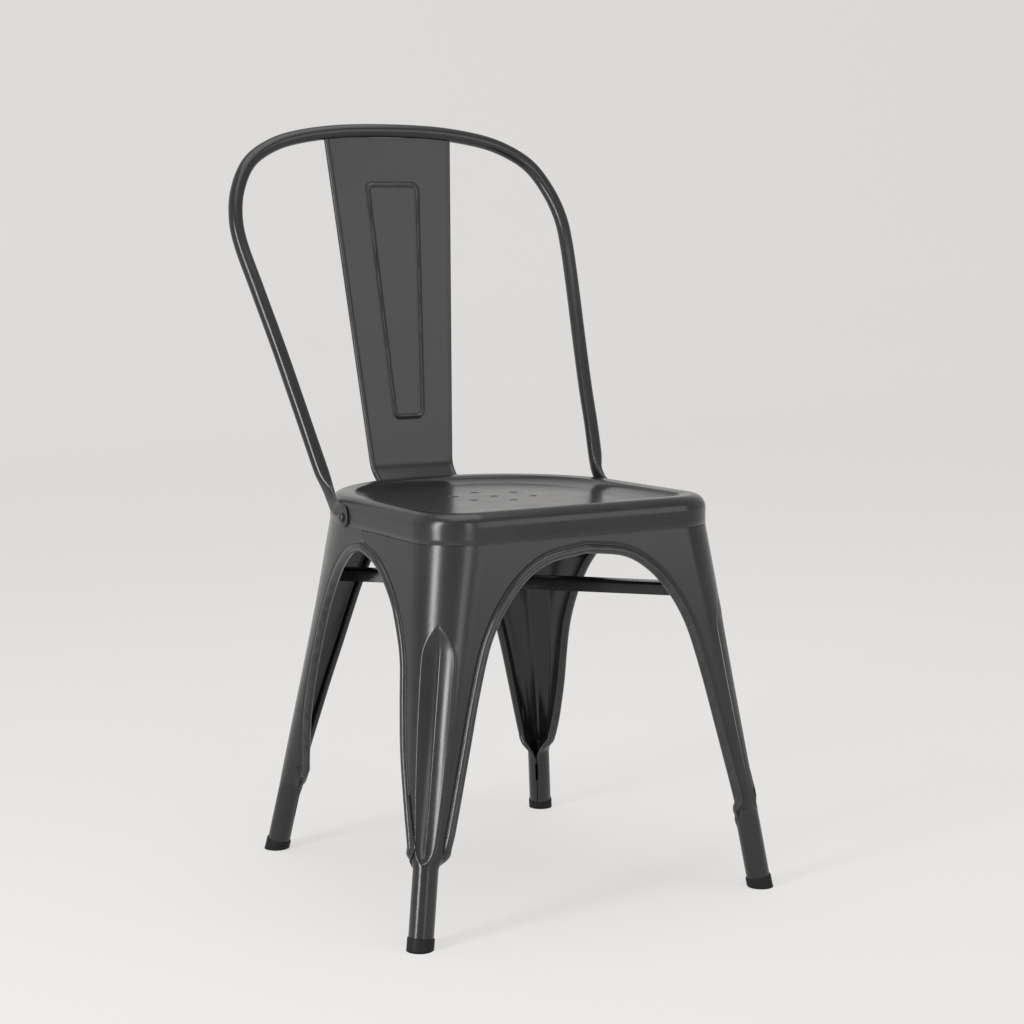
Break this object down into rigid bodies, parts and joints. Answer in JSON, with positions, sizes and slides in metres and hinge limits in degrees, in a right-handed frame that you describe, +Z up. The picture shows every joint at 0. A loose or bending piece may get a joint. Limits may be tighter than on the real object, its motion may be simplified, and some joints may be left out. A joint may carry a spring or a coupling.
{
  "type": "metal bistro chair",
  "caption": "Stackable-style pressed sheet metal bistro chair with tapered arched legs, dished seat, tubular hoop back, tapered splat and rubber feet.",
  "frame": {"origin": "on the floor, under the centre of the overall footprint", "axes": "+Z up, -Y towards the open front of the seat, +X to the right as seen from the front"},
  "size_m": [0.4624, 0.4979, 0.859],
  "materials": {
    "seat_paint": "semi-gloss charcoal paint",
    "leg_paint": "semi-gloss charcoal paint",
    "hoop_paint": "semi-gloss charcoal paint",
    "splat_paint": "semi-gloss charcoal paint",
    "brace_paint": "semi-gloss charcoal paint",
    "bolt_paint": "semi-gloss charcoal paint",
    "foot_rubber": "matte black rubber",
    "fixing_steel": "zinc-plated steel, satin"
  },
  "bodies": {
    "root": {"seat_pan": "seat_paint", "leg_front_left": "leg_paint", "leg_front_right": "leg_paint", "leg_rear_left": "leg_paint", "leg_rear_right": "leg_paint", "back_hoop": "hoop_paint", "back_splat": "splat_paint", "cross_brace_rear_left": "brace_paint", "cross_brace_rear_right": "brace_paint", "foot_front_left": "foot_rubber", "foot_front_right": "foot_rubber", "foot_rear_left": "foot_rubber", "foot_rear_right": "foot_rubber", "hoop_bolt_left": "bolt_paint", "hoop_bolt_right": "bolt_paint", "hoop_washer_left": "fixing_steel", "hoop_washer_right": "fixing_steel", "hoop_nut_left": "fixing_steel", "hoop_nut_right": "fixing_steel"}
  },
  "joints": []
}
